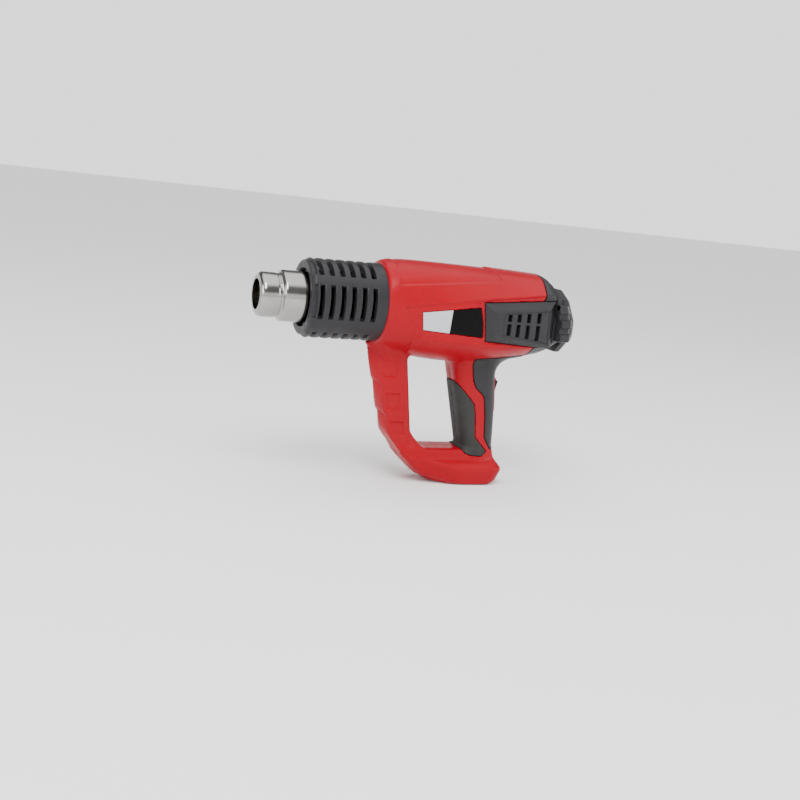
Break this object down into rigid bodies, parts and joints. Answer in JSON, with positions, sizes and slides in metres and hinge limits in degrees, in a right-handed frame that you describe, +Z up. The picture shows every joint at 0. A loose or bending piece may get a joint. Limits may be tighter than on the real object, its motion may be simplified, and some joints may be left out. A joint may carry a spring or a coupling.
{
  "type": "heat gun",
  "caption": "Hand-held hot air gun with steel outlet tube, ventilated guard, closed D handle, rear display with press keys and a rocker switch on the grip.",
  "frame": {"origin": "middle of the model's box in plan, on the flat underside of the handle's base", "axes": "+X forward along the barrel out of the outlet tube, +Y to the gun's left, +Z up; the barrel axis is parallel to X, 144.5 mm above the base"},
  "size_m": [0.263, 0.092, 0.1807],
  "materials": {
    "stainless_steel": "polished, light turning marks",
    "guard_plastic": "glass-filled, fine texture",
    "red_shell": "moulded, satin gloss",
    "dark_plastic": "spark-textured",
    "grip_rubber": "soft overmoulded, ribbed",
    "black_plastic": "matte",
    "key_rubber": "matte silicone",
    "badge_print": "printed plate, grey and black",
    "mica": "mica board",
    "heater_wire": "oxidised resistance wire",
    "bare_steel": "plain, zinc plated",
    "bronze": "sintered",
    "clear_window": "clear",
    "display_face": "grey-pink liquid crystal display",
    "circuit_board": "green solder mask",
    "heat_sink_metal": "extruded",
    "capacitor_case": "boxed film capacitor"
  },
  "bodies": {
    "root": {"outlet_tube": "stainless_steel", "heat_guard": "guard_plastic", "mica_sleeve": "mica", "rear_insulator": "mica", "mica_former": "mica", "heating_coil": "heater_wire", "temperature_probe": "heater_wire", "thermal_cutout": "black_plastic", "motor_can": "bare_steel", "motor_end_cap": "black_plastic", "magnet_ring": "bare_steel", "front_bush": "bronze", "rear_bush": "bronze", "fan_duct": "black_plastic", "motor_bracket": "black_plastic", "grip_pad_left": "grip_rubber", "grip_pad_right": "grip_rubber", "rear_grip_cover": "dark_plastic", "switch_body": "black_plastic", "rocker_bezel": "red_shell", "vent_left": "dark_plastic", "vent_right": "dark_plastic", "badge_left": "badge_print", "badge_right": "badge_print", "rear_cover": "dark_plastic", "control_panel": "dark_plastic", "display_window": "clear_window", "display_module": "display_face", "display_board": "circuit_board", "key_mat": "key_rubber", "power_board": "circuit_board", "heat_sink": "heat_sink_metal", "triac": "black_plastic", "capacitor": "capacitor_case", "transformer": "black_plastic", "cord_inlet_bush": "key_rubber", "cord_clamp": "black_plastic", "cord_clamp_screws": "bare_steel", "housing_left": "red_shell", "housing_right": "red_shell", "housing_screws": "bare_steel"},
    "rocker": {"rocker": "black_plastic"},
    "key_up": {"key_up": "key_rubber"},
    "key_down": {"key_down": "key_rubber"},
    "key_left": {"key_left": "key_rubber"},
    "key_right": {"key_right": "key_rubber"},
    "rotor": {"motor_shaft": "bare_steel", "armature": "bare_steel", "commutator": "bronze", "fan_impeller": "black_plastic"}
  },
  "joints": [
    {"name": "rocker_tilt", "type": "hinge", "parent": "root", "child": "rocker", "pos_m": [-0.075, 0, 0.076], "axis": [0, 1, 0], "range_deg": [0, 14]},
    {"name": "key_up_press", "type": "slide", "parent": "root", "child": "key_up", "axis": [1, 0, 0], "range_m": [0, 0.0008], "stiffness_N_per_m": 500},
    {"name": "key_down_press", "type": "slide", "parent": "root", "child": "key_down", "axis": [1, 0, 0], "range_m": [0, 0.0008], "stiffness_N_per_m": 500},
    {"name": "key_left_press", "type": "slide", "parent": "root", "child": "key_left", "axis": [1, 0, 0], "range_m": [0, 0.0008], "stiffness_N_per_m": 500},
    {"name": "key_right_press", "type": "slide", "parent": "root", "child": "key_right", "axis": [1, 0, 0], "range_m": [0, 0.0008], "stiffness_N_per_m": 500},
    {"name": "rotor_spin", "type": "hinge", "parent": "root", "child": "rotor", "pos_m": [-0.03, 0, 0.1445], "axis": [1, 0, 0], "continuous": true}
  ]
}
